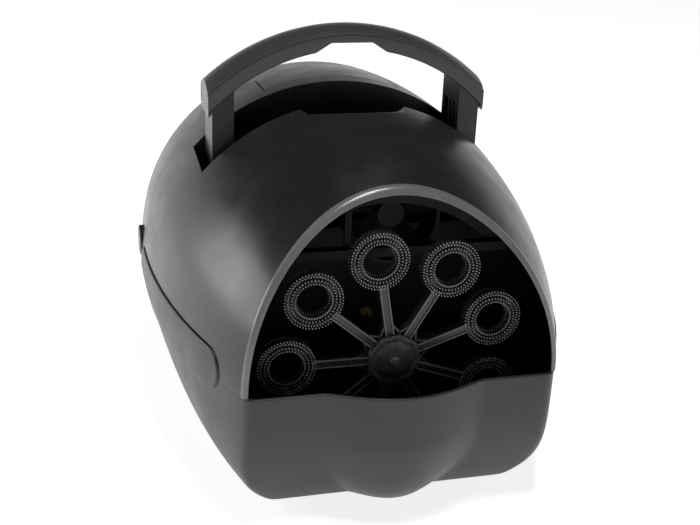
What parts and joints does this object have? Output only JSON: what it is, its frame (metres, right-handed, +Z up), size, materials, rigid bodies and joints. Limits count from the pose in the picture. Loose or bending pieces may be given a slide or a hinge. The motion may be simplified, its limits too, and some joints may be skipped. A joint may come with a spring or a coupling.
{
  "type": "bubble machine",
  "caption": "Domed battery or mains powered bubble machine with a turning wheel of wands over a fluid basin, a fan behind it and a carrying handle that sinks into a groove.",
  "frame": {"origin": "centre of the footprint, on the surface that the feet stand on", "axes": "+Z up, -Y out of the front opening, +X to the right of someone who looks at the front"},
  "size_m": [0.2564, 0.3, 0.25],
  "materials": {
    "dome_plastic": "satin black moulded plastic, fine texture",
    "tub_plastic": "satin charcoal moulded plastic",
    "rim_plastic": "glossy black plastic trim",
    "handle_plastic": "satin black plastic with a fine lengthwise grain",
    "inner_plastic": "matte black plastic",
    "panel_plastic": "fine-grained dark plastic",
    "wand_plastic": "semi-gloss black plastic",
    "hub_plastic": "flat mottled charcoal plastic",
    "gear_plastic": "natural acetal",
    "rocker_plastic": "glossy red plastic",
    "steel": "plated steel",
    "brass": "turned brass, slightly dull",
    "rubber": "soft black rubber",
    "cell_sleeve": "plain printed sleeve",
    "board": "green solder mask",
    "lens": "clear green lens"
  },
  "bodies": {
    "body": {"lower_housing": "tub_plastic", "upper_housing": "dome_plastic", "front_rim": "rim_plastic", "rear_panel": "panel_plastic", "side_caps": "dome_plastic", "bracket_inserts": "brass", "rubber_feet": "rubber", "housing_screws": "steel", "panel_screws": "steel", "inner_frame": "inner_plastic", "basin_wall": "inner_plastic", "shaft_bush": "brass", "motor_bracket": "inner_plastic", "gearbox": "inner_plastic", "gear_motor": "steel", "motor_screws": "steel", "fan_housing": "inner_plastic", "fan_motor": "steel", "fan_screws": "steel", "handle_guides": "inner_plastic", "battery_holder": "inner_plastic", "battery_cells": "cell_sleeve", "battery_contacts": "steel", "circuit_board": "board", "board_parts": "inner_plastic", "board_screws": "steel", "switch_housing": "inner_plastic", "dc_inlet": "inner_plastic", "inlet_nut": "steel", "status_lens": "lens"},
    "wheel": {"wand_wheel": "wand_plastic", "hub_cap": "hub_plastic", "hub_screw": "steel", "wheel_shaft": "brass", "drive_gear": "gear_plastic"},
    "pinion": {"pinion": "gear_plastic"},
    "fan": {"fan_impeller": "inner_plastic"},
    "handle": {"handle_frame": "handle_plastic", "handle_grip": "handle_plastic", "grip_screws": "steel"},
    "hatch": {"top_hatch": "dome_plastic"},
    "rocker": {"power_switch": "rocker_plastic"}
  },
  "joints": [
    {"name": "wheel_spin", "type": "hinge", "parent": "body", "child": "wheel", "pos_m": [0, -0.107, 0.086], "axis": [0, 1, 0], "continuous": true},
    {"name": "pinion_spin", "type": "hinge", "parent": "body", "child": "pinion", "pos_m": [0.032, -0.041, 0.086], "axis": [0, 1, 0], "continuous": true},
    {"name": "fan_spin", "type": "hinge", "parent": "body", "child": "fan", "pos_m": [0.005, -0.07, 0.16], "axis": [0, 1, 0], "continuous": true},
    {"name": "handle_slide", "type": "slide", "parent": "body", "child": "handle", "axis": [0, 0, 1], "range_m": [-0.046, 0]},
    {"name": "hatch_lift", "type": "slide", "parent": "body", "child": "hatch", "axis": [0, 0, 1], "range_m": [0, 0.05]},
    {"name": "switch_rock", "type": "hinge", "parent": "body", "child": "rocker", "pos_m": [-0.044, 0.1462, 0.112], "axis": [1, 0, 0], "range_deg": [-8, 8]}
  ],
  "couplings": [
    {"joint": "pinion_spin", "follows": "wheel_spin", "ratio": -3}
  ]
}
